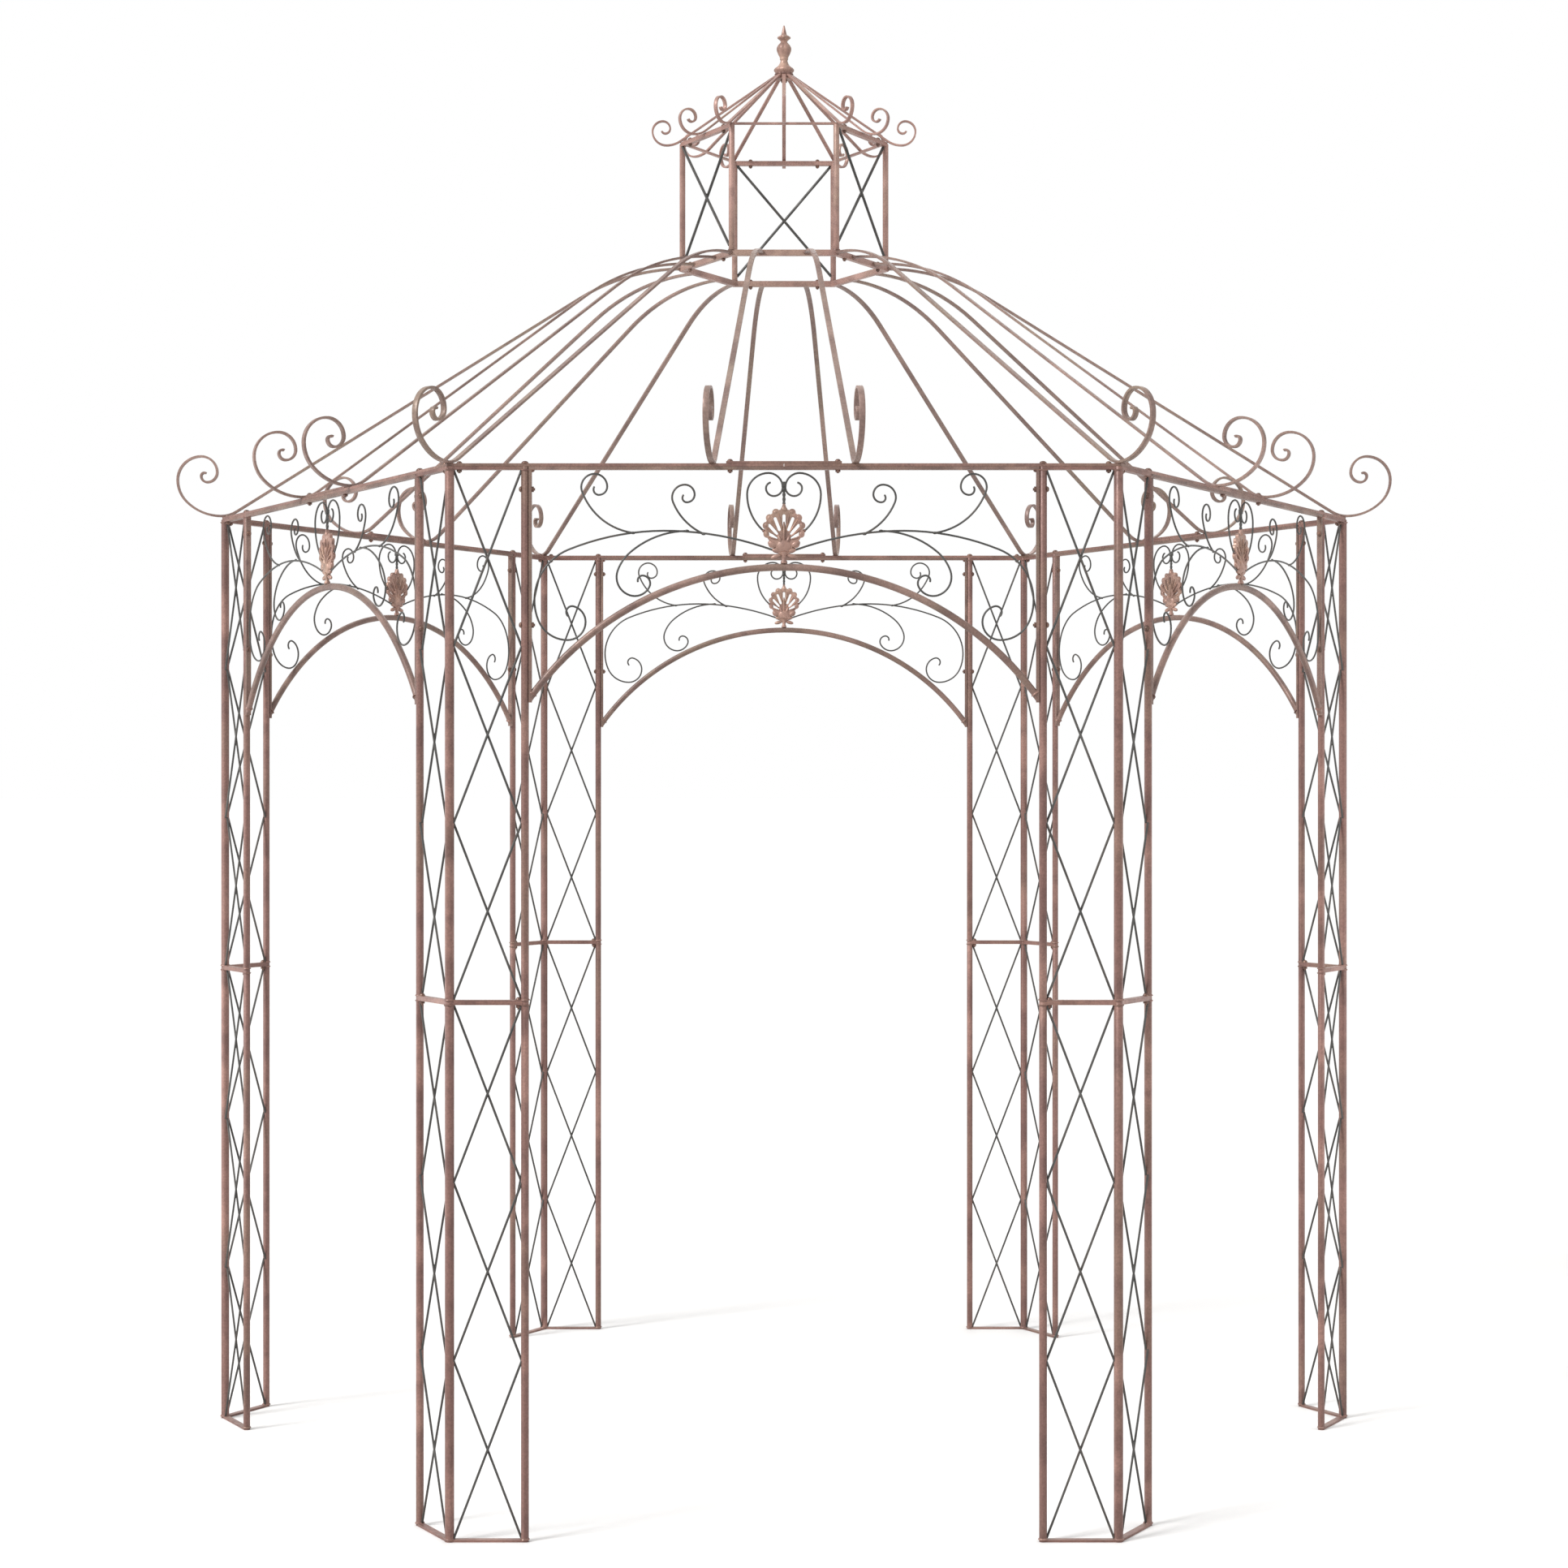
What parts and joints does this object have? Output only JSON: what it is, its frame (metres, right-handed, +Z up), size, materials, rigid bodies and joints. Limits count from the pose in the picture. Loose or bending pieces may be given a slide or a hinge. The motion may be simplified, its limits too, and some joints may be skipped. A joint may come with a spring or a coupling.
{
  "type": "garden pavilion",
  "caption": "Six-sided open garden pavilion of steel tube and scrolled wire, with arched sides, curled rafters, a small cupola and a finial.",
  "frame": {"origin": "on the ground at the centre of the six columns", "axes": "+Z up; the front archway faces -Y; +X is to the right of someone looking at the front"},
  "size_m": [2.9672, 2.6014, 3.402],
  "materials": {
    "brown_paint": "satin antique brown powder coat with copper patina",
    "dark_wire": "satin dark grey-brown coat",
    "cast_metal": "antique brown coat over a cast surface"
  },
  "bodies": {
    "root": {"column_lower_front_right": "brown_paint", "column_upper_front_right": "brown_paint", "column_lattice_front_right": "dark_wire", "rafters_front_right": "brown_paint", "column_lower_right": "brown_paint", "column_upper_right": "brown_paint", "column_lattice_right": "dark_wire", "rafters_right": "brown_paint", "column_lower_back_right": "brown_paint", "column_upper_back_right": "brown_paint", "column_lattice_back_right": "dark_wire", "rafters_back_right": "brown_paint", "column_lower_back_left": "brown_paint", "column_upper_back_left": "brown_paint", "column_lattice_back_left": "dark_wire", "rafters_back_left": "brown_paint", "column_lower_left": "brown_paint", "column_upper_left": "brown_paint", "column_lattice_left": "dark_wire", "rafters_left": "brown_paint", "column_lower_front_left": "brown_paint", "column_upper_front_left": "brown_paint", "column_lattice_front_left": "dark_wire", "rafters_front_left": "brown_paint", "arch_front": "brown_paint", "scrollwork_front": "dark_wire", "arch_front_right": "brown_paint", "scrollwork_front_right": "dark_wire", "arch_back_right": "brown_paint", "scrollwork_back_right": "dark_wire", "arch_back": "brown_paint", "scrollwork_back": "dark_wire", "arch_back_left": "brown_paint", "scrollwork_back_left": "dark_wire", "arch_front_left": "brown_paint", "scrollwork_front_left": "dark_wire", "shell_ornaments": "cast_metal", "eave_bars": "brown_paint", "eave_splices": "brown_paint", "upper_ring": "brown_paint", "cupola_panels": "brown_paint", "cupola_lattice": "dark_wire", "cupola_ring": "brown_paint", "cupola_rafters": "brown_paint", "finial": "cast_metal"}
  },
  "joints": []
}
